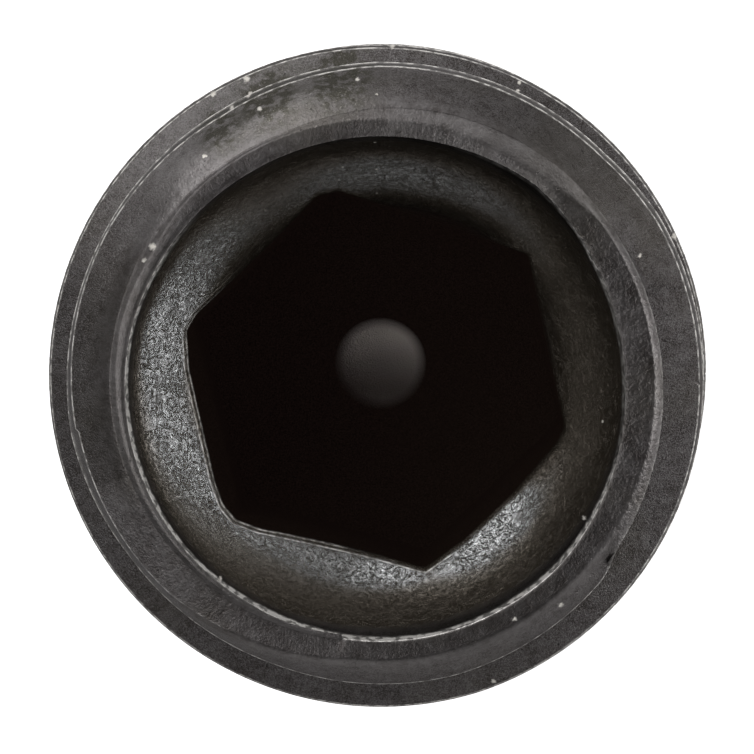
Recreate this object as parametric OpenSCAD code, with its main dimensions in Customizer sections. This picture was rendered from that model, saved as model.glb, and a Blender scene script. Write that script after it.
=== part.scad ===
// Socket set screw: a headless screw threaded over its whole length, with a hexagon
// socket in one end and a cup point on the other. It stands on the rim of its cup,
// which lies on z = 0, and the socket opens upward around the +Z axis.

/* [Thread] */
// Outer diameter over the crests
thread_d = 8; // [7:0.25:12]
// Rise of the thread in one turn
pitch = 1.25; // [0.75:0.05:1.5]
// Angle between the two flanks of the groove
flank_angle = 60; // [50:1:60]
// Direction in which the groove runs out through the socket end, from +X
groove_exit = 194; // [0:1:360]
// Straight steps in one turn of the groove
turn_steps = 36; // [24:6:60]
// Radius of the round root of the groove
root_r = 0.16; // [0.1:0.01:0.2]
// Straight steps in the round root of the groove
root_steps = 4; // [2:1:6]

/* [Body] */
// Length over both ends
length = 10; // [8:0.5:30]

/* [Socket end] */
// Width of the flat rim around the mouth of the socket
rim_w = 0.29; // [0.1:0.01:0.35]
// Size of the small bevel between the rim and the taper
rim_bevel = 0.1; // [0.02:0.01:0.2]
// Slope of the tapered end, from the axis
taper_angle = 23.5; // [18:0.5:40]

/* [Socket] */
// Width of the hexagon across its flats
key_w = 4; // [2.5:0.1:4.4]
// Direction of the hexagon's first corner, from +X
key_turn = -16; // [-30:1:30]
// Depth of the hexagon at its corners, from the rim
key_depth = 3.2; // [2:0.1:4]
// Angle of the cone that the punch leaves under the hexagon
punch_angle = 120; // [100:1:150]
// Diameter of the punch's blunt tip
punch_tip_d = 1.06; // [0.4:0.02:1.6]
// Diameter of the mouth of the bowl that leads into the hexagon
mouth_d = 5.9; // [5.4:0.02:6.1]
// Depth of the bowl below the rim
bowl_depth = 0.75; // [0.3:0.05:1.2]
// Distance by which the bowl's floor reaches inside the flats
bowl_reach = 0.05; // [0.01:0.01:0.3]
// Straight steps in the bowl's curve
bowl_steps = 8; // [4:1:16]

/* [Point] */
// Diameter over the rim of the cup
cup_d = 5; // [3:0.1:5.4]
// Width of the narrow flat that the rim stands on
cup_land = 0.12; // [0.05:0.01:0.3]
// Angle of the hollow cone in the cup
cup_angle = 120; // [110:1:150]
// Slope of the bevel outside the cup, from the axis
point_angle = 45; // [40:1:60]

/* [Hidden] */
$fn = 96;

// How far a cutting tool runs on past the surface that it cuts
past = 0.5;

thread_r = thread_d / 2;
mouth_r = mouth_d / 2;
cup_r = cup_d / 2;
rim_r = mouth_r + rim_w;
taper_r = rim_r + rim_bevel;
taper_h = (thread_r - taper_r) / tan(taper_angle);
point_h = (thread_r - cup_r) / tan(point_angle);
cup_h = (cup_r - cup_land) / tan(cup_angle / 2);

// Hexagon and the cone under it
key_corner_r = key_w / 2 / cos(30);
punch_h = (key_corner_r - punch_tip_d / 2) / tan(punch_angle / 2);
socket_h = key_depth + punch_h;
bowl_r = key_w / 2 - bowl_reach;

// Groove: a crest flat of an eighth of the pitch stays between two turns, and an
// arc that is tangent to both flanks rounds the root
flank = flank_angle / 2;
groove_half_w = pitch * 7 / 16;
groove_apex_r = thread_r - groove_half_w / tan(flank);
root_centre = groove_apex_r + root_r / sin(flank);
groove_out_r = (thread_r + pitch / 40) / cos(180 / turn_steps);
groove_out_half_w = groove_half_w + (groove_out_r - thread_r) * tan(flank);

// The groove starts under the point and ends above the socket, a little over half a
// pitch outside the screw
groove_run = length + 1.3 * pitch;
groove_steps = ceil(groove_run / pitch * turn_steps);
groove_low = -0.65 * pitch;

// Section of the groove as [radius, height above its middle], from the lower outer
// corner around the root to the upper outer corner
groove_section = concat(
    [[groove_out_r, -groove_out_half_w]],
    [for (i = [0 : root_steps])
        let (a = (90 - flank) * (2 * i / root_steps - 1))
        [root_centre - root_r * cos(a), root_r * sin(a)]],
    [[groove_out_r, groove_out_half_w]]
);

// Angle at which the middle of the groove is at a given height
function groove_angle(z) = groove_exit + 360 * (z - length) / pitch;

// Point of the bowl's curve, a quarter of an ellipse from the mouth to the floor
function bowl_point(t) = [
    bowl_r + (mouth_r - bowl_r) * cos(90 * t),
    length - bowl_depth * sin(90 * t)
];

// The turned blank: bevel, thread diameter, taper and rim, with the cup in its point
module blank() {
    rotate_extrude()
        polygon([
            [0, cup_h],
            [cup_r - cup_land, 0],
            [cup_r, 0],
            [thread_r, point_h],
            [thread_r, length - rim_bevel - taper_h],
            [taper_r, length - rim_bevel],
            [rim_r, length],
            [0, length]
        ]);
}

// One groove, its section carried up a right-hand helix
module groove() {
    n = len(groove_section);
    points = [
        for (k = [0 : groove_steps])
            let (z = groove_low + k * pitch / turn_steps, a = groove_angle(z))
            for (s = groove_section)
                [s[0] * cos(a), s[0] * sin(a), z + s[1]]
    ];
    sides = [
        for (k = [0 : groove_steps - 1], i = [0 : n - 1])
            let (j = (i + 1) % n, a = k * n, b = a + n)
            for (face = [[a + i, b + i, b + j], [a + i, b + j, a + j]])
                face
    ];
    start = [for (i = [0 : n - 1]) i];
    end = [for (i = [n - 1 : -1 : 0]) groove_steps * n + i];
    polyhedron(points, concat(sides, [start, end]));
}

// Space that the hexagonal punch leaves: six flats that end in a blunt cone
module key_socket() {
    intersection() {
        translate([0, 0, length - socket_h])
            rotate(key_turn)
                cylinder(r = key_corner_r, h = socket_h + past, $fn = 6);
        rotate_extrude()
            polygon([
                [0, length - socket_h],
                [punch_tip_d / 2, length - socket_h],
                [key_corner_r + past, length - key_depth + past / tan(punch_angle / 2)],
                [key_corner_r + past, length + past],
                [0, length + past]
            ]);
    }
}

// Bowl that leads a key from the mouth into the hexagon
module mouth_bowl() {
    rotate_extrude()
        polygon(concat(
            [[0, length + past], [mouth_r, length + past]],
            [for (i = [0 : bowl_steps]) bowl_point(i / bowl_steps)],
            [[0, length - bowl_depth]]
        ));
}

module set_screw() {
    color([0.20, 0.19, 0.18])
        difference() {
            blank();
            groove();
            key_socket();
            mouth_bowl();
        }
}

set_screw();
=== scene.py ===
import math

import bpy
import numpy as np
from mathutils import Matrix, Vector


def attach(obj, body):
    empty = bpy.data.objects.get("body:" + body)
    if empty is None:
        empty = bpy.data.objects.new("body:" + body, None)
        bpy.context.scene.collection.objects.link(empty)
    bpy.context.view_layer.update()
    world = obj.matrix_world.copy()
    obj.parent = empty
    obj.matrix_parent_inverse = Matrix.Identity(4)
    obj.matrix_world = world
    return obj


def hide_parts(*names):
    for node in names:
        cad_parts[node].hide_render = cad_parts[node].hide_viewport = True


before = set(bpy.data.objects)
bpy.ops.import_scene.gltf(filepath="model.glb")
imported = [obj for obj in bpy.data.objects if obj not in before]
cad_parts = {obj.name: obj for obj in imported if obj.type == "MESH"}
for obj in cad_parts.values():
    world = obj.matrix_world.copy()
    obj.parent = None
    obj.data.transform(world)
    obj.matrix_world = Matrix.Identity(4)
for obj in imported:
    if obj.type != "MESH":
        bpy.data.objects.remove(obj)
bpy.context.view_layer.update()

# The set screw: one piece of hardened alloy steel, headed with its hexagon socket,
# rolled with a right-hand M8 x 1.25 thread and blackened. It stands on its cup point.
# Rolling has squeezed the thin wall around the socket, so its first ridge runs inwards.
length = 10.0
pitch = 1.25
crest_radius = 4.0
root_radius = 3.2127
half_crest = pitch / 16
flank_slope = math.tan(math.radians(60))
first_crest = 1.299
bevel_depth = 0.20
ramp_depth = 0.08
lip_inside = 2.98
round_width, round_depth = 0.08, 0.1386
key_width, key_corner, key_depth, key_turn = 4.0, 2.309, 3.2, 14.0
punch_tip = 0.53
cup_radius, cup_land = 2.5, 0.12

# Directions are degrees from +X. On the thread they go on past 360, up to the mouth
ridge_end, rounding_start = 189.0, 195.0
ramp_start, notch, step, ramp_end = 262.0, 322.0, 402.0, 622.0
columns = 480
turn_rows = 17
seam_rows = turn_rows + 1
groups = np.arange(-8, 2)[:, None, None]
theta = np.arange(columns) * 360.0 / columns

# The photograph's scale at the rim in pixels per mm, and how far deeper places shift in it
photo_centre = (377.0, 388.0)
photo_scale = 85.35
photo_shift = (0.86, 6.155)
camera_distance = 58.0


def from_photo(across, down, depth):
    """Place on the screw in mm that shows at this pixel and lies this far below the rim."""
    spread = 1 / (1 + depth / camera_distance)
    x = (across - photo_centre[0] - photo_shift[0] * depth * spread) / (photo_scale * spread)
    y = (photo_centre[1] - down - photo_shift[1] * depth * spread) / (photo_scale * spread)
    return x, y


def eased(share):
    """A share from 0 to 1 with a soft start and end: its square times three less twice itself."""
    return share * share * (3 - 2 * share)


def crest_depth(turn):
    """Depth of the middle of the ridge below the rim: it rises one pitch in 360 degrees."""
    return first_crest - pitch * turn / 360


def lip_radius(turn):
    """Outer radius of the lip, the part of the rim that the groove has not yet cut down."""
    at = [402, 420, 435, 450, 458, 470, 510, 540, 570, 600, 615, 622]
    radius = [3.35, 3.32, 3.30, 3.26, 3.215, 3.165, 3.152, 3.128, 3.093, 3.046, 3.02, 2.99]
    return np.interp(turn, at, radius)


def lip_depth(turn):
    """Depth of the lip's top: none, until it sinks to the ramp where it ends."""
    return np.interp(turn, [585, 622], [0, ramp_depth])


def shoulder(turn):
    """The slope outside the lip's top: the radius where it starts, the depth where it ends at
    the lip's outer radius, and how much the top itself leans outwards."""
    at = [402, 420, 435, 450, 480, 495, 510, 525, 540, 550, 600, 622]
    start = [3.15, 3.115, 3.125, 3.14, 3.13, 3.12, 3.06, 3.09, 3.06, 3.04, 3.0, 2.97]
    start = np.interp(turn, at, start)
    lean = np.interp(turn, [500, 525, 600, 622], [0, 0.11, 0.11, 0.06])
    foot = lip_depth(turn) + 0.012 + 0.5 * (lip_radius(turn) - start) + lean * (start - lip_inside)
    return start, foot, lean


def ridge_radius(turn):
    """Radius of the crest line. It follows the tapered end as a shallow parabola through two
    measured depths, and is squeezed out a little along the way."""
    near, far = 0.53, 1.05
    depth = 0.387 + 0.7993 * crest_depth(turn)
    taper = 3.506 + 0.396 * (depth - near) + 0.0966 * (depth - near) * (depth - far)
    at = [-60, 0, 30, 45, 60, 90, 120, 150, 165, 190, 215, 250, 285, 300, 318]
    out = [0, 0.012, 0.04, 0, 0.018, 0.03, 0, 0.018, 0.03, 0.058, 0, 0, 0.05, 0.035, 0.025]
    return np.minimum(taper + np.interp(turn, at, out), crest_radius)


def outer_edge(turn):
    """Lower edge of the ridge as radius and depth. It is the crest line up to the notch,
    the edge of the rim's bevel up to the step, and the lip's outer edge after the step."""
    bevel = np.interp(turn, [322, 325, 345, 360, 402], [3.44, 3.42, 3.385, 3.36, 3.32])
    radius = np.where(turn < step, bevel, lip_radius(turn))
    radius = np.where(turn < notch, ridge_radius(turn), radius)
    flank = crest_depth(turn) + half_crest + (crest_radius - radius) / flank_slope
    depth = np.where(turn < step, bevel_depth, shoulder(turn)[1])
    return radius, np.where(turn < notch, flank, depth)


def inner_edge(turn):
    """Upper edge of the ridge as radius and depth: the ridge is wide only near its end, where
    its edge becomes the edge of the ramp. On the lip it is the top of its rounded edge."""
    at = [-60, -38, 0, 45, 60, 90, 120, 150, 165, 189]
    width = [0.036, 0.05, 0.07, 0.06, 0.06, 0.048, 0.07, 0.048, 0.065, 0.11]
    outer = outer_edge(turn)[0]
    end_at = [189, 197, 210, 225, 240, 255, 264, 322, 345, 402]
    end = [3.562, 3.54, 3.5, 3.46, 3.36, 3.26, 3.21, 3.215, 3.243, 3.243]
    ridge = outer - np.interp(turn, at, width)
    radius = np.where(turn < ridge_end, ridge, np.interp(turn, end_at, end))
    radius = np.where(turn < step, radius, outer - 0.06)
    flank = crest_depth(turn) - half_crest - (crest_radius - radius) / flank_slope
    last = np.interp(turn, [189, 210, 225, 240, 262], [0.32, 0.21, 0.165, 0.12, ramp_depth])
    depth = np.where(turn < step, last, lip_depth(turn) + 0.012)
    return radius, np.where(turn < ridge_end, flank, depth)


def mouth(angle):
    """Edge of the socket's mouth as radius and depth: pressed slightly out of round."""
    at = [0, 15, 30, 45, 52, 60, 75, 105, 120, 150, 165, 240, 255, 262, 285, 300, 315, 330, 345, 360]
    radius = [2.91, 2.912, 2.935, 2.985, 3.01, 2.99, 2.955, 2.93, 2.923, 2.932, 2.953, 2.953,
              2.98, 2.996, 3.006, 3.003, 3.003, 2.965, 2.936, 2.91]
    depth = np.interp(angle, [0, 38, 49, 225, 262, 360], [0.08, 0.08, 0, 0, 0.08, 0.08])
    return np.interp(angle, at, radius), depth + 0.01


def corner_rounding(turn):
    """How far the crest's upper corner has opened into the rim's bevel, from 0 to 1."""
    return eased(np.clip((turn - rounding_start) / 60, 0, 1))


def crest_rows(turn):
    """Five rows over the ridge: a narrow flat with rounded corners. Its upper corner opens
    into the rim's bevel, and on the lip the rows run down the slope outside its top."""
    outer_r, outer_d = outer_edge(turn)
    inner_r, inner_d = inner_edge(turn)
    width, fall = outer_r - inner_r, outer_d - inner_d
    radius = [outer_r, outer_r - np.minimum(0.014, 0.3 * width), 0.5 * (outer_r + inner_r) - 0.006,
              inner_r + np.minimum(0.018, 0.35 * width), inner_r]
    depth = [outer_d, outer_d - 0.02, 0.5 * (outer_d + inner_d), inner_d + 0.15 * fall, inner_d]
    bevelled = turn >= notch
    bevel_width, bevel_fall = 0.24, 0.30
    for row, out, drop in ((1, 0.14, 0.12), (2, 0.065, 0.035), (3, 0.025, 0.008)):
        soft_r = inner_r + np.where(bevelled, width * out / bevel_width, out)
        soft_d = inner_d + np.where(bevelled, fall * drop / bevel_fall, drop)
        share = corner_rounding(turn) if row > 1 else np.where(bevelled, 1.0, 0.0)
        radius[row] = radius[row] + share * (soft_r - radius[row])
        depth[row] = depth[row] + share * (soft_d - depth[row])

    start, foot, lean = shoulder(turn)
    top = lip_depth(turn) + lean * (start - lip_inside)
    for row, back, drop in ((0, 0, 1.0), (1, 0.27, 0.72), (2, 0.54, 0.44), (3, 0.8, 0.18), (4, 1.0, 0.03)):
        radius[row] = np.where(turn >= step, outer_r - back * (outer_r - start), radius[row])
        depth[row] = np.where(turn >= step, top + drop * (foot - top), depth[row])
    return radius, depth


def groove_root(turn):
    """Root of the groove as radius and depth, and how much of its round is left. Under the
    lip the groove is filled, so that the flank ends at the lip's foot."""
    next_r, next_d = outer_edge(turn + 360)
    under = np.interp(turn, [30, 60, 262], [-0.012, 0.015, 0.015])
    filled = np.interp(turn, [18, 36], [0, 1])
    radius = np.minimum(root_radius + filled, next_r + under)
    depth = np.maximum(crest_depth(turn) - pitch / 2, ramp_depth + 0.006)
    depth = depth + filled * (next_d + 0.005 - depth)
    return radius, depth, np.interp(turn, [18, 34], [1, 0])


def flank_rows(turn, top_r, top_d, end_r, end_d):
    """Seven rows down the ridge's upper flank. It falls straight, but on the upper left it
    leaves its foot at a gentler slope and bends down after a share of its width. On the ramp
    it falls straight to the mouth, and on the lip it is the lip's slightly arched top."""
    gap = 0.02
    share = np.linspace(0, 1, 7)[1:]
    radius = np.array([top_r - gap] + [top_r - gap + s * (end_r - top_r + gap) for s in share])
    start_d = top_d + (end_d - top_d) * gap / np.maximum(top_r - end_r, 0.05)
    height = start_d - end_d
    gentle_at = [70, 90, 98, 105, 113, 120, 128, 135, 150]
    gentle = np.interp(turn, gentle_at, [0.1, 0.25, 0.5, 0.66, 0.6, 0.52, 0.52, 0.45, 0.2])
    curved = np.interp(turn, [60, 90, 135, 160], [0.1, 1, 1, 0])
    straight = np.minimum(0.6 * (top_r - gap - end_r) / np.maximum(height, 0.05), 1)
    depth = [start_d]
    for s in share:
        bend = (np.maximum(1 - s - gentle, 0) / (1 - gentle)) ** 1.6
        rise = straight * (1 - s) + (1 - straight) * bend
        rise = np.where(turn >= ramp_start, 1 - s, 1 - s + curved * (rise - 1 + s))
        depth.append(end_d + height * rise)
    arch = 0.008 * np.concatenate([[0], share])[:, None, None, None] ** 4
    lean = shoulder(turn)[2]
    top = lip_depth(turn) + arch + lean * np.maximum(radius - lip_inside, 0)
    depth = np.where(turn >= step, top, np.array(depth))

    # The step up to the lip runs slanted across the rim and is softened
    rim_inner, rim_width, slant = 3.03, 0.285, 3.5
    cut = step + 1.5 - (radius - rim_inner) / rim_width * slant
    sunk = eased(np.clip((cut - turn) / 2.6 + 0.5, 0, 1)) * ramp_depth
    near_step = (turn > 380) & (turn < 420)
    return radius, np.where(near_step, depth * (turn >= step) + sunk, depth)


def thread_marks(turn, mouth_wear):
    """Wear and painted light of the thread's rows. Wear bares the metal on the crest's two edges
    and at the mouth, partly as a painted highlight. Painted light is positive for painted highlights and
    negative for painted shade."""
    on_lip = turn >= step
    rounded = corner_rounding(turn)
    wear = np.zeros((turn_rows,) + turn.shape)
    wear[0] = np.where(on_lip, 0, np.where(turn < notch, 1, 0.5))
    wear[1] = np.where(turn < notch, 0.6 * (1 - rounded), 0)
    wear[4] = np.where(on_lip, 0, np.interp(turn, [200, 262], [1, 0]))
    wear[12] = np.where(turn >= ramp_start, 0.35 * mouth_wear, 0)
    wear[13:] = np.where(turn >= ramp_start, mouth_wear, 0)

    # Painted light: painted highlights on the lip, on the crest's opening corner and on the upper left of
    # the flank; painted shade on the flank at the left, on the rim's face and on the outer band of the
    # lower turns
    tone = np.zeros(wear.shape)
    lip_at = [0, 42, 50, 75, 95, 130, 160, 262, 300]
    lip_tone = np.interp(theta, lip_at, [0, 0, 0.4, 0.4, 0, 0, 0.35, 0.35, 0])
    corner_tone = rounded * np.array([0, 0.1, 0.5, 0.3, 0])[:, None, None, None]
    tone[:5] = np.where(on_lip, lip_tone, corner_tone)
    flank_at = [0, 30, 45, 60, 75, 90, 105, 135, 155, 165, 190, 215, 262]
    flank_tone = [0, 0, -0.25, -0.35, -0.2, 0.1, 0.3, 0.45, 0, -0.35, -0.35, -0.1, 0]
    flank_tone = np.interp(theta, flank_at, flank_tone)
    face_tone = np.interp(turn, [230, 262, 285, 325, 345, 402], [0, -0.2, -0.35, -0.35, -0.15, -0.15])
    tone[5:14] = np.where(on_lip, lip_tone, np.where(turn > 200, face_tone, flank_tone))
    outer_tone = np.interp(theta, [85, 105, 130, 148], [0, 0.4, 0.3, 0])
    tone[5:9] = tone[5:9] + np.where(turn < 200, outer_tone, 0)
    band_at = [150, 170, 190, 215, 280, 300, 325, 345]
    band_tone = np.interp(theta, band_at, [0, -0.25, -0.25, -0.1, -0.2, -0.5, -0.5, 0])
    tone[15:] = np.where(turn < -20, band_tone, 0)
    return wear, tone


def thread_rows():
    """Rows of the thread from the point to the mouth, as radius, depth, wear and painted light.
    Each group of 17 rows follows one turn of the helix: 5 over the ridge, 7 down its upper
    flank, 2 around the root and 3 up the next ridge's lower flank. Past the start of the
    ramp the flank reaches the mouth instead, and the rows after it close on the mouth."""
    turn = theta + 360.0 * groups
    to_mouth = turn >= ramp_start
    mouth_r, mouth_d = mouth(np.broadcast_to(theta, turn.shape))
    root_r, root_d, opened = groove_root(turn)
    end_r = np.where(to_mouth, mouth_r + 0.03, root_r + round_width * opened)
    end_d = np.where(turn >= step, lip_depth(turn) + 0.006, mouth_d - 0.01)
    end_d = np.where(to_mouth, end_d, root_d + round_depth * opened)
    crest_r, crest_d = crest_rows(turn)
    flank_r, flank_d = flank_rows(turn, crest_r[4], crest_d[4], end_r, end_d)

    next_r, next_d = outer_edge(turn + 360)
    last_r = [root_r, root_r + round_width * opened]
    last_d = [root_d, root_d - round_depth * opened]
    for s in (0.2, 0.6, 0.93):
        last_r.append(last_r[1] + s * (next_r - last_r[1]))
        last_d.append(last_d[1] + s * (next_d - last_d[1]))
    closed_r = [mouth_r + 0.008] + 4 * [mouth_r]
    closed_d = [end_d + 0.004] + 4 * [mouth_d]
    last_r = [np.where(to_mouth, at_mouth, r) for at_mouth, r in zip(closed_r, last_r)]
    last_d = [np.where(to_mouth, at_mouth, d) for at_mouth, d in zip(closed_d, last_d)]
    radius = np.concatenate([crest_r, flank_r, last_r])
    depth = np.concatenate([crest_d, flank_d, last_d])
    # Bare edge of the mouth: partly wear and partly a painted highlight, strong from the left round to the
    # lower right, faint at the top and upper left
    wear_at = [0, 18, 30, 42, 60, 75, 135, 150, 200, 330, 345]
    mouth_wear = [0.65, 0.65, 1.0, 0.75, 0.65, 0.2, 0.2, 1.0, 1.12, 1.15, 0.65]
    mouth_wear = np.interp(theta, wear_at, mouth_wear)
    wear, tone = thread_marks(turn, mouth_wear)

    # Soft passages, each from a row, group and column on: at the notch, the step and the
    # flank under it
    for row, group, first, last in ((0, 8, 424, 437), (0, 9, 48, 67), (5, 8, 48, 67)):
        ease = eased(np.linspace(0, 1, last - first))
        for part in (radius, depth, wear, tone):
            before, after = part[row:, group, 0, first, None], part[row:, group, 0, last - 1, None]
            part[row:, group, 0, first:last] = before + ease * (after - before)
    gone = turn >= ramp_end
    radius = np.where(gone, mouth_r, radius)
    depth = np.where(gone, mouth_d, depth)
    wear = np.where(gone, mouth_wear, wear)
    return [np.swapaxes(a[:, :, 0], 0, 1).reshape(-1, columns) for a in (radius, depth, wear, tone)]


def hexagon_radius(depth):
    """Distance from the axis to the worn mouth of the hexagon, in each column's direction,
    from its corners in the photograph. Between them it runs straight, smoothed a little."""
    corners_px = np.array([
        (185, 331), (187, 370), (196, 412), (212, 482), (221, 507), (234, 523), (258, 533), (425, 574.5),
        (467, 545), (517, 497), (559, 447), (567, 430), (561, 400), (530, 255), (338, 190), (316, 195),
        (261, 252), (194, 315)], float)
    x, y = from_photo(corners_px[:, 0], corners_px[:, 1], depth)
    share = np.linspace(0, 1, 24, endpoint=False)[:, None]
    x = (x + share * (np.roll(x, -1) - x)).T.ravel()
    y = (y + share * (np.roll(y, -1) - y)).T.ravel()
    angle = np.degrees(np.arctan2(y, x)) % 360
    order = np.argsort(angle)
    radius = np.interp(theta, angle[order], np.hypot(x, y)[order], period=360)
    return (np.roll(radius, 1) + 2 * radius + np.roll(radius, -1)) / 4


def across_bowl(inward, values):
    """A value of the bowl at a distance inward from the mouth in mm. It runs straight between
    the given rows, which lie at these distances, and in each row between directions."""
    around_at = [0, 30, 60, 90, 120, 150, 165, 180, 210, 240, 270, 285, 300, 315, 330, 345, 360]
    place = np.interp(inward, [0, 0.09, 0.16, 0.30, 0.45, 0.60, 0.75, 0.90], range(8))
    result = 0 * inward
    for number, row in enumerate(values):
        near = np.clip(1 - abs(place - number), 0, 1)
        result = result + near * np.interp(theta, around_at, row + row[:1])
    return result


def bowl_slope(inward):
    """Slope of the bowl in degrees: steep at the mouth, flatter below, and steep again over
    the hexagon's flats except at the lower left and bottom, where the punch dragged it."""
    return across_bowl(inward, [
        [76, 76, 76, 76, 76, 76, 76, 76, 76, 76, 76, 76, 76, 76, 76, 76],
        [72, 72, 72, 72, 70, 66, 62, 62, 64, 68, 70, 70, 70, 70, 70, 72],
        [58, 60, 60, 60, 56, 48, 46, 46, 50, 56, 60, 60, 60, 60, 58, 58],
        [46, 44, 41, 41, 42, 41, 40, 40, 42, 50, 54, 54, 54, 52, 48, 46],
        [42, 38, 38, 40, 41, 40, 37, 37, 38, 44, 48, 44, 42, 42, 41, 42],
        [44, 46, 44, 46, 48, 47, 37, 35, 36, 37, 36, 28, 26, 28, 36, 42],
        [60, 62, 60, 62, 62, 60, 45, 34, 35, 36, 35, 24, 24, 25, 36, 50],
        [70, 70, 70, 72, 70, 70, 60, 40, 40, 36, 35, 24, 24, 25, 40, 62]])


def bowl_sheen(inward):
    """Sheen of the bowl, where 1 is the plain oxide: partly polish from the punch and partly painted
    highlight on the left, at the bottom and at the lower right, and painted shade towards the hexagon's
    other edges."""
    return across_bowl(inward, [
        [0.3, 0.3, 0.3, 0.3, 0.3, 0.3, 0.3, 0.3, 0.3, 0.3, 0.3, 0.3, 0.3, 0.3, 0.3, 0.3],
        [0.3, 0.25, 0.2, 0.25, 0.3, 0.4, 0.4, 0.3, 0.35, 0.4, 0.5, 0.4, 0.4, 0.4, 0.3, 0.3],
        [0.3, 0.2, 0.2, 0.3, 0.3, 0.9, 1.1, 0.75, 0.6, 0.35, 0.35, 0.3, 0.35, 0.3, 0.25, 0.3],
        [0.32, 0.3, 0.6, 0.95, 0.45, 1.2, 1.3, 1.0, 0.85, 0.5, 0.3, 0.35, 0.4, 0.35, 0.3, 0.4],
        [0.35, 0.35, 1.1, 1.3, 0.65, 1.2, 1.2, 1.05, 0.9, 0.62, 0.5, 0.5, 0.7, 0.6, 0.45, 0.42],
        [0.35, 0.35, 0.9, 1.3, 0.7, 1.2, 1.3, 0.9, 1.3, 1.05, 1.3, 0.85, 1.3, 1.2, 0.65, 0.35],
        [0.22, 0.2, 0.25, 0.3, 0.35, 0.4, 0.3, 0.6, 0.8, 1.3, 1.8, 0.65, 1.6, 1.75, 0.45, 0.15],
        [0.05, 0.05, 0.05, 0.05, 0.1, 0.1, 0.1, 0.3, 0.4, 0.8, 0.9, 0.5, 1.2, 0.9, 0.2, 0.05]])


def socket_rows():
    """Rows from the mouth to the middle of the socket's floor: a steep wall, the bowl, whose
    level lines turn from the mouth's circle into the hexagon, the hexagon and the cone. The
    bowl's depth is the sum of its slopes from the mouth inwards."""
    edge_depth = 0.8
    mouth_r, mouth_d = mouth(theta)
    edge_r = hexagon_radius(edge_depth) + 0.03
    flat = key_width / 2 / np.cos(np.radians((theta - key_turn + 30) % 60 - 30))
    share = np.array([0, 0.012, 0.03, 0.06, 0.1, 0.15, 0.2, 0.26, 0.33, 0.4, 0.47, 0.54, 0.61, 0.68, 0.75,
                      0.82, 0.88, 0.94, 0.985, 1.0])[:, None]
    width = mouth_r - edge_r
    slope = np.tan(np.radians(bowl_slope(share * width)))
    rise = 0.5 * (slope[1:] + slope[:-1])
    bowl_r = (mouth_r - share * width)[1:]
    bowl_d = np.cumsum(rise * width * np.diff(share, axis=0), axis=0)
    soft_d = np.interp(theta, [0, 20, 70, 225, 262, 360], [0.09, 0.09, 0.01, 0.01, 0.09, 0.09])
    share = share[1:]
    bowl_d = bowl_d + soft_d + (mouth_d - soft_d) * np.clip(1 - share / 0.06, 0, 1)
    edge_d = bowl_d[-1]
    lip_r = np.stack([edge_r - 0.022, edge_r - 0.045, edge_r - 0.06])
    lip_d = np.stack([edge_d + 0.03, edge_d + 0.06, edge_d + 0.14])
    down = np.array([0.15, 0.5, 1.0])[:, None]
    inside = np.minimum(edge_r - 0.06, flat)
    wall_r = inside + 0 * down
    wall_d = lip_d[-1] + down * (key_depth - lip_d[-1])
    cone_r = np.array([1.4, 0.6, punch_tip, 0.3])[:, None] + 0 * theta
    cone_d = np.array([1.4, 0.6, punch_tip, punch_tip])[:, None]
    cone_d = key_depth + (key_corner - cone_d) / flank_slope + 0 * theta
    cone_r[0] = np.minimum(cone_r[0], inside)
    radius = np.concatenate([bowl_r, lip_r, wall_r, cone_r, 0 * theta[None]])
    depth = np.concatenate([bowl_d, lip_d, wall_d, cone_d, cone_d[-1:]])

    # Bare edges of the mouth and, on the left round to the bottom, of the hexagon: partly wear and partly
    # a painted highlight
    wear = np.zeros(radius.shape)
    wear_at = [0, 18, 30, 42, 60, 75, 135, 150, 200, 330, 345]
    wear[:2] = np.interp(theta, wear_at, [0.6, 0.6, 0.95, 0.7, 0.6, 0.2, 0.2, 0.95, 1.05, 1.05, 0.6])
    edge = len(bowl_r) - 1
    wear[edge] = np.interp(theta, [140, 165, 290, 300], [0.15, 0.9, 0.9, 0.15])
    wear[edge + 2] = np.interp(theta, [140, 165, 255, 270], [0, 0.9, 0.9, 0])
    # Painted light: the bowl's sheen less 1, falling into painted shade over the hexagon's edge, and full
    # painted shade (-1) in the hexagon and on the cone
    tone = np.full(radius.shape, -1.0)
    tone[:edge + 1] = bowl_sheen(share * width) - 1
    tone[edge + 1] = 0.6 * tone[edge] - 0.4
    tone[edge + 2] = 0.4 * tone[edge] - 0.6
    return radius, depth, wear, tone


def point_rows():
    """Rows from the middle of the cup to the bevel of the point: hollow cone, flat rim, bevel."""
    rim = cup_radius - cup_land
    radius = np.array([0, 1.0, 1.9, rim, cup_radius, 2.8])[:, None] + 0 * theta
    hollow = rim / flank_slope
    height = np.array([hollow, hollow - 1.0 / flank_slope, hollow - 1.9 / flank_slope, 0, 0, 0.3])
    wear = np.array([0, 0, 0, 0.6, 0.6, 0])[:, None] + 0 * theta
    return radius, length - height[:, None] + 0 * theta, wear, 0 * wear


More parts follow.
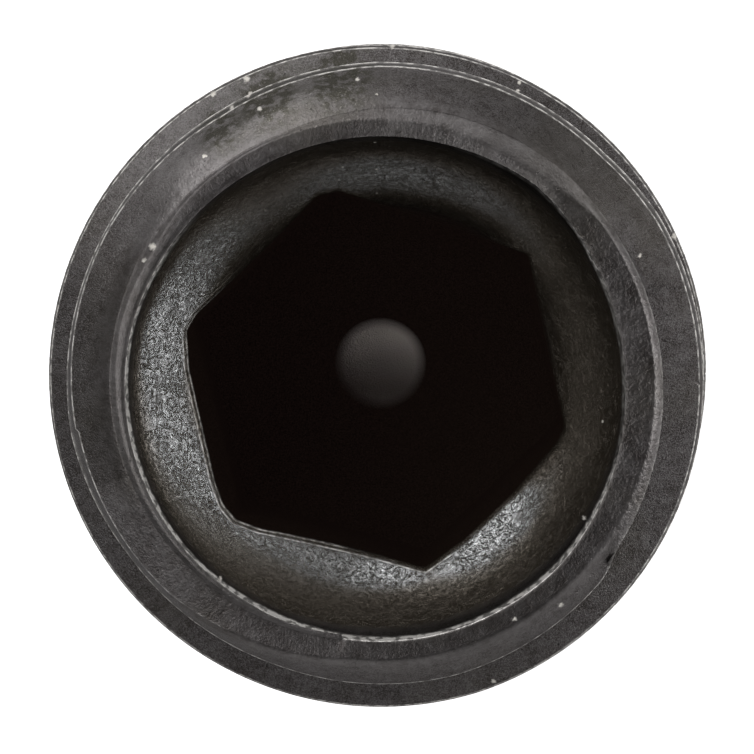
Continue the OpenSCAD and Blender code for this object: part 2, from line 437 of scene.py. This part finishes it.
def screw_mesh():
    """One closed surface from the cup around the thread and into the socket. The thread's
    rows climb, so its last column meets the first one further up. It is joined one row past
    the turn's rows, which leans that last strip by a row. Places that fall together are made
    one, and faces without area are left out."""
    point, thread, socket = point_rows(), thread_rows(), socket_rows()
    thread_r, thread_d = thread[0], thread[1]
    thread_z = np.maximum(length - thread_d, 0.3)
    thread_r = np.minimum(thread_r, cup_radius + thread_z)
    radius = np.concatenate([point[0], thread_r, socket[0]])
    height = np.concatenate([length - point[1], thread_z, length - socket[1]])
    wear = np.concatenate([point[2], thread[2], socket[2]])
    tone = np.concatenate([point[3], thread[3], socket[3]])
    rows = len(radius)
    first, count = len(point[0]), len(thread_r)
    angle = np.radians(theta)
    spots = np.stack([radius * np.cos(angle), radius * np.sin(angle), height], -1).reshape(-1, 3)
    index = np.arange(rows * columns).reshape(rows, columns)
    row = np.arange(rows)
    in_thread = (row >= first) & (row < first + count)
    shifted = np.where(in_thread, np.minimum(row + seam_rows, first + count - 1), row)
    right = np.concatenate([index[:, 1:], index[shifted, 0][:, None]], 1)
    quads = np.stack([index[:-1], right[:-1], right[1:], index[1:]], -1).reshape(-1, 4)
    whole, same = np.unique(np.round(spots * 1e5).astype(np.int64), axis=0, return_inverse=True)
    keep = np.zeros(len(whole), int)
    keep[same.ravel()] = np.arange(len(spots))
    faces = same.ravel()[np.concatenate([quads[:, [0, 1, 2]], quads[:, [0, 2, 3]]])]
    good = (faces[:, 0] != faces[:, 1]) & (faces[:, 1] != faces[:, 2]) & (faces[:, 2] != faces[:, 0])
    values = [a.reshape(-1)[keep].astype(np.float32) for a in (wear, tone)]
    return spots[keep] * 0.001, faces[good], dict(zip(("wear", "tone"), values))


sharp_angle = 38
spots, faces, marks = screw_mesh()
mesh = bpy.data.meshes.new("screw_body")
mesh.from_pydata(spots, [], faces.tolist())
mesh.update()
for name, values in marks.items():
    mesh.attributes.new(name, "FLOAT", "POINT").data.foreach_set("value", values)
mesh.shade_smooth()
mesh.set_sharp_from_angle(angle=math.radians(sharp_angle))
screw = bpy.data.objects.new("screw_body", mesh)
bpy.context.scene.collection.objects.link(screw)

steel = bpy.data.materials.new("blackened_steel")
steel.use_nodes = True
nodes, links = steel.node_tree.nodes, steel.node_tree.links
shader = nodes["Principled BSDF"]


def node(kind, **settings):
    """A new node. A setting in0, in1 and so on sets or links that input, any other is a
    property."""
    made = nodes.new(kind)
    for key, value in settings.items():
        if key.startswith("in"):
            socket = made.inputs[int(key[2:])]
            if isinstance(value, bpy.types.NodeSocket):
                links.new(value, socket)
            else:
                socket.default_value = value
        else:
            setattr(made, key, value)
    return made


def math_node(operation, a, b=0.0, c=0.0):
    """The output of a math node with these inputs."""
    return node("ShaderNodeMath", operation=operation, in0=a, in1=b, in2=c).outputs[0]


def multiply(a, b):
    """The product of two values."""
    return math_node("MULTIPLY", a, b)


def add(a, b):
    """The sum of two values."""
    return math_node("ADD", a, b)


def weighted(*parts):
    """The sum of several values, each times its weight."""
    total = multiply(*parts[0])
    for part in parts[1:]:
        total = add(total, multiply(*part))
    return total


def vector_node(operation, a, b, c=(0, 0, 0)):
    """The output of a vector math node with these inputs."""
    return node("ShaderNodeVectorMath", operation=operation, in0=a, in1=b, in2=c).outputs[0]


# All places in the material are metres from the middle of the point's rim
place = node("ShaderNodeTexCoord").outputs["Object"]
x_m, y_m, z_m = node("ShaderNodeSeparateXYZ", in0=place).outputs
radius_m = math_node("SQRT", add(math_node("POWER", x_m, 2.0), math_node("POWER", y_m, 2.0)))
around = math_node("ARCTAN2", y_m, x_m)


def noise(scale, detail=3.0, roughness=0.6, vector=None, distortion=0.0):
    """Noise between 0 and 1 whose features are about 1 / scale metres wide."""
    return node("ShaderNodeTexNoise", in0=vector or place, in2=float(scale), in3=float(detail),
                in4=roughness, in8=float(distortion)).outputs[0]


def ramp(value, low, high, start=0.0, end=1.0):
    """The value mapped from low..high to start..end and held there."""
    return node("ShaderNodeMapRange", in0=value, in1=low, in2=high, in3=start, in4=end).outputs[0]


def mix(share, a, b):
    """The colour between a and b."""
    made = node("ShaderNodeMix", data_type="RGBA", in0=share)
    for socket, value in ((made.inputs[6], a), (made.inputs[7], b)):
        if isinstance(value, bpy.types.NodeSocket):
            links.new(value, socket)
        else:
            socket.default_value = (*value, 1)
    return made.outputs[2]


def spot_group():
    """A soft round mark: above 1 at its centre and 0 from its radius on, seen from above."""
    group = bpy.data.node_groups.new("spot", "ShaderNodeTree")
    group.interface.new_socket("Position", in_out="INPUT", socket_type="NodeSocketVector")
    group.interface.new_socket("Centre", in_out="INPUT", socket_type="NodeSocketVector")
    group.interface.new_socket("Radius", in_out="INPUT", socket_type="NodeSocketFloat")
    group.interface.new_socket("Mark", in_out="OUTPUT", socket_type="NodeSocketFloat")
    source, sink = group.nodes.new("NodeGroupInput"), group.nodes.new("NodeGroupOutput")
    away = group.nodes.new("ShaderNodeVectorMath")
    away.operation = "DISTANCE"
    fade = group.nodes.new("ShaderNodeMapRange")
    fade.inputs[1].default_value = 0.0
    fade.inputs[3].default_value = 1.6
    fade.inputs[4].default_value = 0.0
    group.links.new(source.outputs["Position"], away.inputs[0])
    group.links.new(source.outputs["Centre"], away.inputs[1])
    group.links.new(away.outputs["Value"], fade.inputs[0])
    group.links.new(source.outputs["Radius"], fade.inputs[2])
    group.links.new(fade.outputs[0], sink.inputs[0])
    return group


def marks_at(group, position, places):
    """The strongest of several spots. Each is a place in the picture, a depth below the rim
    in mm and a radius in hundredths of a millimetre."""
    total = 0.0
    for across, down, depth, size in places:
        x, y = from_photo(across, down, depth)
        spot = node("ShaderNodeGroup", node_tree=group, in0=position)
        spot.inputs[1].default_value = (x * 0.001, y * 0.001, 0)
        spot.inputs[2].default_value = size * 0.00001
        total = math_node("MAXIMUM", spot.outputs[0], total)
    return total


# Coordinates for spots: shaken, so that their edges are uneven, and without height
shake_width = 0.00006
shake = node("ShaderNodeTexNoise", in0=place, in2=22000.0, in3=2.0).outputs[1]
shaken = vector_node("MULTIPLY_ADD", shake, (shake_width, shake_width, 0), place)
shaken = vector_node("SUBTRACT", shaken, (shake_width / 2, shake_width / 2, 0))
shaken = vector_node("MULTIPLY", shaken, (1, 1, 0))
spot = spot_group()

# Coordinates around the axis: streaks run along the radius in radial, and around the axis
# in rings
radial = node("ShaderNodeCombineXYZ", in0=multiply(around, 0.0030), in1=multiply(radius_m, 0.35),
              in2=multiply(z_m, 0.35)).outputs[0]
rings = node("ShaderNodeCombineXYZ", in0=multiply(around, 0.0016), in1=radius_m,
             in2=multiply(z_m, 0.5)).outputs[0]
streak = noise(11000, 3, 0.65, radial)
fine = noise(30000, 3, 0.65)
medium = noise(8000, 4, 0.6)
mottle = noise(2300, 4, 0.65)
broad = noise(700, 3, 0.5)
wrinkle = noise(15000, 4, 0.7, rings, 1.2)
grain = noise(52000, 2, 0.6)
crack_noise = math_node("ABSOLUTE", math_node("SUBTRACT", noise(8500, 4, 0.65, rings, 1.6), 0.5))
cracks = ramp(crack_noise, 0.0, 0.035, 1, 0)
pits = ramp(noise(13000, 2, 0.5), 0.30, 0.24)
wear_and_glint_share = node("ShaderNodeAttribute", attribute_name="wear").outputs["Fac"]
tone = node("ShaderNodeAttribute", attribute_name="tone").outputs["Fac"]
# Shares of painted highlight and painted shade from the painted light
highlight_share = ramp(tone, 0, 1)
shade_share = ramp(tone, 0, -1)

# Where the surface is: in the bowl, in the hexagon, on the flat of its floor, anywhere in
# the socket, near the socket's end of the thread, or lower than the rim
in_mouth = ramp(radius_m, 0.00286, 0.00293, 1, 0)
bowl = multiply(in_mouth, ramp(z_m, 0.0086, 0.0087))
hexagon = multiply(ramp(shade_share, 0.85, 1.0), ramp(radius_m, 0.00256, 0.00262, 1, 0))
floor_flat = multiply(hexagon, ramp(radius_m, 0.00044, 0.00058, 1, 0))
socket = multiply(in_mouth, ramp(z_m, 0.0050, 0.0051))
top_end = ramp(z_m, 0.0072, 0.0076)
below_rim = ramp(z_m, 0.00988, 0.0097)

# Colour: black oxide with paler and browner patches and pits, painted highlights and painted shade, and
# bare metal on the edges that is also a painted highlight
oxide_dark, oxide_pale = (0.048, 0.040, 0.038), (0.172, 0.162, 0.162)
brown_dark, brown_pale = (0.035, 0.028, 0.020), (0.15, 0.138, 0.115)
pit_black, highlight_grey = (0.012, 0.010, 0.009), (0.29, 0.275, 0.27)
stain_dark, stain_pale = (0.040, 0.037, 0.024), (0.26, 0.245, 0.215)
bowl_dark, bowl_pale = (0.030, 0.024, 0.016), (0.062, 0.053, 0.042)
shade_black, hexagon_painted_shade = (0.010, 0.008, 0.006), (0.004, 0.003, 0.002)
socket_floor_shade, socket_floor_highlight = (0.0375, 0.035, 0.036), (0.225, 0.215, 0.228)
bare_steel_glint, dust_pale, chip_pale = (0.95, 0.92, 0.88), (0.62, 0.59, 0.53), (0.80, 0.76, 0.70)
texture = weighted((mottle, 0.26), (medium, 0.34), (fine, 0.24), (streak, 0.16))
rough_spots = ramp(grain, 0.32, 0.68, -0.16, 0.16)
texture = add(texture, multiply(rough_spots, ramp(below_rim, 0, 1, 0.15, 1)))
oxide = mix(ramp(texture, 0.36, 0.66), oxide_dark, oxide_pale)
colour = mix(ramp(broad, 0.48, 0.66, 0, 0.35), oxide, mix(texture, brown_dark, brown_pale))
colour = mix(multiply(pits, 0.75), colour, pit_black)
# Painted highlight: a pale grey where the painted light is positive
colour = mix(multiply(highlight_share, ramp(texture, 0.3, 0.6, 0.35, 0.75)), colour, highlight_grey)

# Three stained places on the upper left of the first flank
stain = marks_at(spot, shaken, [(268, 98, 1.0, 55), (338, 78, 0.8, 60), (222, 128, 0.8, 40)])
stain = multiply(stain, ramp(medium, 0.40, 0.56))
stain = multiply(math_node("MINIMUM", stain, 0.8), top_end)
colour = mix(stain, colour, mix(ramp(fine, 0.60, 0.70), stain_dark, stain_pale))
colour = mix(bowl, colour, mix(ramp(wrinkle, 0.35, 0.65), bowl_dark, bowl_pale))
# Painted shade: near black where the painted light is negative, most in the bowl towards the hexagon's
# edges and in the hexagon
colour = mix(shade_share, colour, shade_black)
# Bare steel on the worn edges, painted near white as a highlight too
beads = ramp(noise(11000, 2, 0.55), 0.42, 0.60, 0.30, 1.3)
bare_and_glint = math_node("MINIMUM", multiply(math_node("POWER", wear_and_glint_share, 2.5), beads), 1.0)
colour = mix(bare_and_glint, colour, bare_steel_glint)

# Dust in the middle of some cells of a cell pattern, and chips where the photograph has them
dots = node("ShaderNodeTexVoronoi", in0=place, in2=2600.0).outputs
chosen = ramp(node("ShaderNodeSeparateColor", in0=dots[1]).outputs[0], 0.78, 0.80)
dust = multiply(ramp(dots[0], 0.06, 0.035), chosen)
dust = multiply(dust, ramp(noise(18000, 2, 0.5), 0.42, 0.5))
colour = mix(dust, colour, dust_pale)
chips = marks_at(spot, shaken, [
    (247, 80, 2.0, 5), (214, 95, 2.1, 4), (234, 108, 1.3, 3), (249, 96, 1.2, 4), (262, 109, 0.9, 3),
    (358, 80, 0.8, 3), (206, 156, 0.4, 3), (153, 247, 0.05, 5), (145, 260, 0.2, 3), (519, 84, 2.0, 3),
    (518, 92, 1.9, 3), (676, 238, 1.9, 5), (392, 47, 2.1, 4), (640, 257, 0.4, 3), (107, 530, 1.0, 4),
    (562, 608, 0.08, 4), (515, 621, 0.08, 3), (494, 681, 1.6, 3), (219, 581, 0.05, 3),
    (585, 521, 0.08, 3)])
chips = multiply(math_node("MINIMUM", chips, 1.0), top_end)
colour = mix(chips, colour, chip_pale)
# The hexagon: unworn oxide, darkened to near black as painted shade
colour = mix(hexagon, colour, hexagon_painted_shade)
# Painted highlight on the flat of the socket's floor for the light falling in through the opening, lighter
# towards +Y
floor_painted_light = math_node("POWER", ramp(y_m, -0.00034, 0.00034), 1.6)
colour = mix(floor_flat, colour, mix(floor_painted_light, socket_floor_shade, socket_floor_highlight))
links.new(colour, shader.inputs["Base Color"])

# The metallic share is lower where dust or chips lie or steel is bare, and nothing in the
# bowl and the hexagon
covered = math_node("MAXIMUM", math_node("MAXIMUM", dust, chips), multiply(bare_and_glint, 0.6))
outside = math_node("SUBTRACT", 1.0, math_node("MAXIMUM", bowl, hexagon))
links.new(multiply(ramp(covered, 0, 1, 0.8, 0.35), outside), shader.inputs["Metallic"])
rough = math_node("SUBTRACT", ramp(mottle, 0.3, 0.7, 0.33, 0.46), multiply(bowl, 0.17))
links.new(rough, shader.inputs["Roughness"])

# Sheen in the socket: it follows the painted light, so it is partly polish and partly painted highlight,
# less in cracks, and none in the hexagon except on the flat of its floor, where it follows that floor's
# painted highlight. Its tint is warmer in the painted shade. The veil is a painted glow: a faint warm
# emission that lifts the hexagon's shade to a faint warm grey.
shader.inputs["IOR"].default_value = 2.5
level = multiply(ramp(tone, -1, 1, 0, 1), ramp(fine, 0.3, 0.7, 0.75, 1.35))
level = multiply(level, ramp(cracks, 0, 1, 1.15, 0.4))
level = math_node("MAXIMUM", level, multiply(floor_flat, ramp(floor_painted_light, 0, 1, 0.11, 0.68)))
links.new(ramp(socket, 0, 1, 0.5, level), shader.inputs["Specular IOR Level"])
warm = mix(ramp(tone, -0.6, -0.1), (1.0, 0.88, 0.74), (0.96, 0.98, 1.0))
links.new(mix(socket, (0.3, 0.3, 0.3), warm), shader.inputs["Specular Tint"])
hexagon_painted_glow = multiply(ramp(grain, 0.3, 0.7, 0.4, 1.6), hexagon)
links.new(hexagon_painted_glow, shader.inputs["Emission Strength"])
shader.inputs["Emission Color"].default_value = (0.0036, 0.0021, 0.0018, 1)

# Relief: streaks, pits and grain outside, coarser on the right. In the bowl wrinkles and
# cracks that run around the axis
relief_height = 0.000012
grainy = multiply(grain, ramp(below_rim, 0, 1, 0.2, 1.6))
grainy = multiply(grainy, ramp(x_m, 0.0020, 0.0030, 1, 1.7))
relief = add(weighted((streak, 0.5), (fine, 0.6)), grainy)
relief = add(relief, multiply(noise(17000, 2, 0.6), ramp(x_m, 0.0018, 0.0030, 0, 1.5)))
relief = math_node("SUBTRACT", add(relief, multiply(medium, 0.5)), multiply(pits, 0.5))
wrinkles = weighted((wrinkle, 1.4), (fine, 0.9))
wrinkles = math_node("SUBTRACT", wrinkles, multiply(cracks, 0.5))
relief = node("ShaderNodeMix", data_type="FLOAT", in0=bowl, in2=relief, in3=wrinkles).outputs[0]
bump = node("ShaderNodeBump", in0=0.8, in1=relief_height, in3=relief)
links.new(bump.outputs[0], shader.inputs["Normal"])
mesh.materials.append(steel)
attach(screw, "root")
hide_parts("set_screw")

# The surface that the screw stands on. It glows white to the camera, because the
# photograph's ground is pure white, and faintly in reflections. For all other light it is
# plain pale paper.
half = 0.6
corners = [(-half, -half, 0), (half, -half, 0), (half, half, 0), (-half, half, 0)]
floor_mesh = bpy.data.meshes.new("floor")
floor_mesh.from_pydata(corners, [], [(0, 1, 2, 3)])
floor = bpy.data.objects.new("floor", floor_mesh)
bpy.context.scene.collection.objects.link(floor)
paper = bpy.data.materials.new("white_paper")
paper.use_nodes = True
paper_nodes, paper_links = paper.node_tree.nodes, paper.node_tree.links
sheet = paper_nodes["Principled BSDF"]
sheet.inputs["Base Color"].default_value = (0.8, 0.8, 0.8, 1)
sheet.inputs["Roughness"].default_value = 0.9
sheet.inputs["Emission Color"].default_value = (1, 1, 1, 1)
path = paper_nodes.new("ShaderNodeLightPath")
either = paper_nodes.new("ShaderNodeMath")
either.operation = "MULTIPLY_ADD"
either.inputs[1].default_value = 0.15
paper_links.new(path.outputs["Is Glossy Ray"], either.inputs[0])
paper_links.new(path.outputs["Is Camera Ray"], either.inputs[2])
paper_links.new(either.outputs[0], sheet.inputs["Emission Strength"])
floor_mesh.materials.append(paper)

# Light: a key lamp from the upper left of the picture, a high one over the left, and six
# low ones around the screw that graze its flanks and the socket. The surroundings are
# almost dark.
world = bpy.data.worlds.new("room")
bpy.context.scene.world = world
world.use_nodes = True
world.node_tree.nodes["Background"].inputs[0].default_value = (1, 1, 1, 1)
world.node_tree.nodes["Background"].inputs[1].default_value = 0.01
lamp_distance = 0.12


def lamp(name, azimuth, from_zenith, size, power):
    """A round area lamp at that azimuth and angle from straight up, aimed at the rim."""
    light = bpy.data.lights.new(name, "AREA")
    light.shape = "DISK"
    light.size = size
    light.energy = power
    made = bpy.data.objects.new(name, light)
    a, z = math.radians(azimuth), math.radians(from_zenith)
    direction = Vector((math.sin(z) * math.cos(a), math.sin(z) * math.sin(a), math.cos(z)))
    made.location = Vector((0, 0, length * 0.001)) + direction * lamp_distance
    made.rotation_euler = direction.to_track_quat("Z", "Y").to_euler()
    bpy.context.scene.collection.objects.link(made)
    return made


key_lamp = lamp("key_lamp", 120, 52, 0.07, 0.064)
high_lamp = lamp("high_lamp", 195, 28, 0.065, 0.034)
side_lamp = lamp("side_lamp", 0, 76, 0.06, 0.056)
rear_lamp = lamp("rear_lamp", 42, 76, 0.085, 0.020)
back_lamp = lamp("back_lamp", 85, 76, 0.085, 0.024)
left_lamp = lamp("left_lamp", 180, 74, 0.07, 0.006)
low_lamp = lamp("low_lamp", 264, 76, 0.09, 0.012)
right_lamp = lamp("right_lamp", 320, 76, 0.08, 0.010)

# The camera is 58 mm above the rim and looks down on the socket end. It stands 4 mm towards
# the top of the picture, so it leans a little.
camera_data = bpy.data.cameras.new("camera")
camera_data.sensor_width = 36
camera_data.lens = 237.0
camera_data.clip_start = 0.001
camera_data.clip_end = 2.0
camera = bpy.data.objects.new("camera", camera_data)
camera.location = (0.000586, 0.00418, 0.068)
target = Vector((0.0, 0.000124, 0.01))
back = (camera.location - target).normalized()
right = Vector((0, 1, 0)).cross(back).normalized()
camera.rotation_euler = Matrix((right, back.cross(right), back)).transposed().to_euler()
bpy.context.scene.collection.objects.link(camera)
bpy.context.scene.camera = camera
bpy.context.scene.view_settings.view_transform = "Standard"
